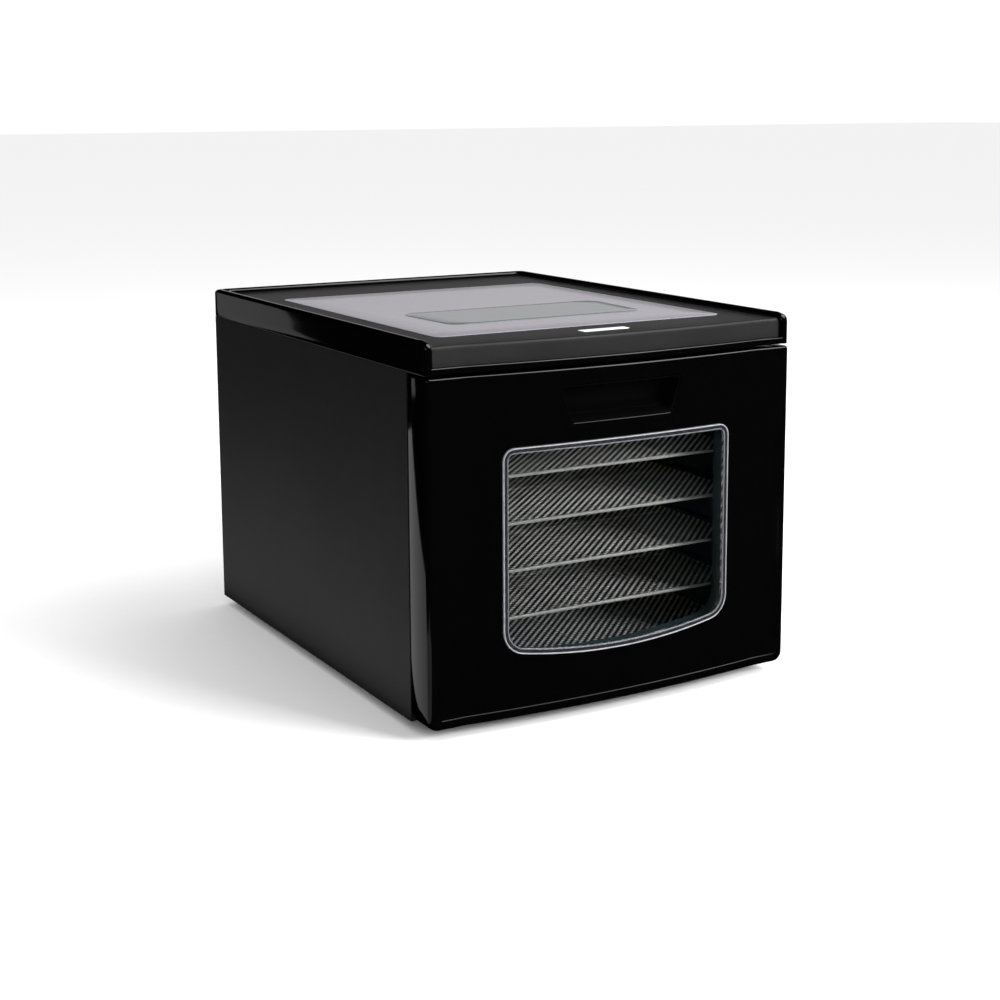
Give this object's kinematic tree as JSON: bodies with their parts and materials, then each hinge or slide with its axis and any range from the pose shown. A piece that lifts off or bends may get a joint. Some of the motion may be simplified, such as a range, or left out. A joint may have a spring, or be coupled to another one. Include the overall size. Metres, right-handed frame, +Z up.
{
  "type": "food dehydrator",
  "caption": "Box-shaped food dehydrator with a bowed drop-down front door, a window, wire mesh trays, a touch panel on top and a rear fan.",
  "frame": {"origin": "middle of the rectangle that holds the whole object in plan, on the surface it stands on", "axes": "+Z up, +Y from the door to the back, +X to the right as seen from the front"},
  "size_m": [0.345, 0.45, 0.313],
  "materials": {
    "badge_pale": "satin",
    "board_green": "lacquer",
    "clear": "clear",
    "dark_liner": "satin",
    "gloss_black": "high gloss",
    "heater": "oxidised",
    "inlay_grey": "satin sheet",
    "magnet": "sintered",
    "panel_light": "printed film",
    "powder_black": "fine textured powder coat",
    "rubber_black": "matte",
    "satin_dark": "satin",
    "steel_plate": "satin",
    "steel_wire": "bright",
    "white_part": "moulded",
    "wire_red": "insulation",
    "zinc": "satin"
  },
  "bodies": {
    "housing": {"badge": "badge_pale", "base_pan": "steel_plate", "base_screws": "zinc", "catch_magnets": "magnet", "chamber_ceiling": "dark_liner", "chamber_floor": "dark_liner", "chassis_top": "steel_plate", "control_board": "board_green", "cord_gland": "rubber_black", "display_module": "satin_dark", "fan_motor": "steel_plate", "fan_shroud": "steel_plate", "feet": "rubber_black", "foot_screws": "zinc", "front_frame": "satin_dark", "heater_clips": "white_part", "hinge_arm_screws": "zinc", "hinge_arms": "steel_plate", "left_chamber_wall": "dark_liner", "left_side_panel": "powder_black", "left_tray_rails": "dark_liner", "motor_bracket": "steel_plate", "power_board": "board_green", "rear_baffle": "dark_liner", "rear_panel": "powder_black", "rear_screws": "zinc", "right_chamber_wall": "dark_liner", "right_side_panel": "powder_black", "right_tray_rails": "dark_liner", "ring_heater": "heater", "terminal_block": "white_part", "thermal_fuse": "zinc", "thermostat": "white_part", "top_cover": "gloss_black", "top_deck": "satin_dark", "top_inlay": "inlay_grey", "touch_panel": "panel_light", "wiring_loom": "wire_red"},
    "fan": {"fan_rotor": "zinc", "fan_shaft": "steel_plate"},
    "door": {"door_shell": "gloss_black", "door_window": "clear", "window_gasket": "rubber_black", "door_inner_frame": "dark_liner", "door_screws": "zinc", "door_strikes": "steel_plate", "handle_cup": "gloss_black", "hinge_pins": "steel_plate"},
    "tray_1": {"tray_1_frame": "steel_wire", "tray_1_mesh": "steel_wire"},
    "tray_2": {"tray_2_frame": "steel_wire", "tray_2_mesh": "steel_wire"},
    "tray_3": {"tray_3_frame": "steel_wire", "tray_3_mesh": "steel_wire"},
    "tray_4": {"tray_4_frame": "steel_wire", "tray_4_mesh": "steel_wire"},
    "tray_5": {"tray_5_frame": "steel_wire", "tray_5_mesh": "steel_wire"},
    "tray_6": {"tray_6_frame": "steel_wire", "tray_6_mesh": "steel_wire"}
  },
  "joints": [
    {"name": "door_hinge", "type": "hinge", "parent": "housing", "child": "door", "pos_m": [0, -0.208, 0.024], "axis": [1, 0, 0], "range_deg": [0, 90]},
    {"name": "fan_spin", "type": "hinge", "parent": "housing", "child": "fan", "pos_m": [0, 0.165, 0.145], "axis": [0, 1, 0], "continuous": true},
    {"name": "tray_1_slide", "type": "slide", "parent": "housing", "child": "tray_1", "axis": [0, -1, 0], "range_m": [0, 0.037]},
    {"name": "tray_2_slide", "type": "slide", "parent": "housing", "child": "tray_2", "axis": [0, -1, 0], "range_m": [0, 0.101]},
    {"name": "tray_3_slide", "type": "slide", "parent": "housing", "child": "tray_3", "axis": [0, -1, 0], "range_m": [0, 0.151]},
    {"name": "tray_4_slide", "type": "slide", "parent": "housing", "child": "tray_4", "axis": [0, -1, 0], "range_m": [0, 0.201]},
    {"name": "tray_5_slide", "type": "slide", "parent": "housing", "child": "tray_5", "axis": [0, -1, 0], "range_m": [0, 0.251]},
    {"name": "tray_6_slide", "type": "slide", "parent": "housing", "child": "tray_6", "axis": [0, -1, 0], "range_m": [0, 0.301]}
  ],
  "couplings": [
    {"joint": "tray_1_slide", "follows": "door_hinge", "m_per_rad": 0.02292},
    {"joint": "tray_2_slide", "follows": "door_hinge", "m_per_rad": 0.06366},
    {"joint": "tray_3_slide", "follows": "door_hinge", "m_per_rad": 0.09549},
    {"joint": "tray_4_slide", "follows": "door_hinge", "m_per_rad": 0.12732},
    {"joint": "tray_5_slide", "follows": "door_hinge", "m_per_rad": 0.15915},
    {"joint": "tray_6_slide", "follows": "door_hinge", "m_per_rad": 0.19099}
  ]
}
